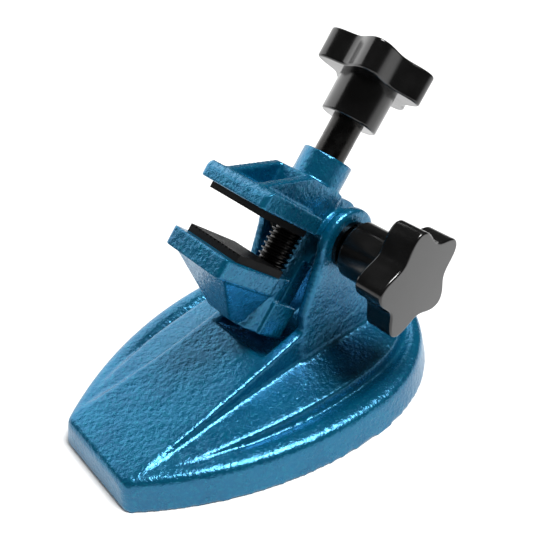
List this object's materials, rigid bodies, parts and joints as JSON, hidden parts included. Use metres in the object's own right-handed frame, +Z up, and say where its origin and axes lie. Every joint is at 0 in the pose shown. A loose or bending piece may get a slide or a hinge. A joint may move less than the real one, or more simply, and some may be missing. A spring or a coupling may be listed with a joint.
{
  "type": "tilting clamp vise",
  "caption": "Small tilting clamp vise on a heavy boat-shaped cast base, with rubber-faced jaws, a screw knob for clamping and a side knob for tilt.",
  "frame": {"origin": "on the floor under the middle of the base's bounding box", "axes": "+Z up, narrow tip of the base towards -Y, tilt knob on the +X side"},
  "size_m": [0.1058, 0.1514, 0.1267],
  "materials": {
    "enamel": "glossy hammer-textured metallic blue enamel over casting",
    "knob_plastic": "gloss black moulding",
    "black_steel": "black oxide, lightly oiled",
    "bright_steel": "zinc plated",
    "brass": "turned",
    "pad_rubber": "hard ribbed rubber",
    "sole_rubber": "matt sheet",
    "friction_fibre": "fibre washer"
  },
  "bodies": {
    "base": {"base_casting": "enamel", "base_pad": "sole_rubber", "pivot_bolt": "bright_steel", "bolt_washer": "bright_steel", "tilt_washer": "bright_steel", "friction_discs": "friction_fibre"},
    "head": {"head_casting": "enamel", "upper_pad": "pad_rubber", "clamp_washer": "black_steel"},
    "screw": {"clamp_screw": "black_steel", "clamp_knob": "knob_plastic", "clamp_insert": "brass", "knob_set_screw": "black_steel", "end_clip": "bright_steel"},
    "jaw": {"lower_jaw": "enamel", "lower_pad": "pad_rubber"},
    "lock_carriage": {"spring_washer": "bright_steel"},
    "lock": {"tilt_knob": "knob_plastic", "tilt_insert": "brass"}
  },
  "joints": [
    {"name": "head_tilt", "type": "hinge", "parent": "base", "child": "head", "pos_m": [0, 0.0276, 0.05836], "axis": [1, 0, 0], "range_deg": [-50, 26]},
    {"name": "screw_turn", "type": "hinge", "parent": "head", "child": "screw", "pos_m": [0, 0.03732, 0.08984], "axis": [0, -0.6406, -0.7678], "range_deg": [-361, 2341]},
    {"name": "jaw_slide", "type": "slide", "parent": "head", "child": "jaw", "axis": [0, 0.6406, 0.7678], "range_m": [-0.002, 0.013]},
    {"name": "lock_travel", "type": "slide", "parent": "base", "child": "lock_carriage", "axis": [1, 0, 0], "range_m": [0, 0.0015]},
    {"name": "lock_turn", "type": "hinge", "parent": "lock_carriage", "child": "lock", "pos_m": [0.03, 0.0276, 0.05836], "axis": [1, 0, 0], "range_deg": [0, 541]}
  ],
  "couplings": [
    {"joint": "screw_turn", "follows": "jaw_slide", "rad_per_m": 3141.6},
    {"joint": "lock_turn", "follows": "lock_travel", "rad_per_m": 6283.2}
  ]
}
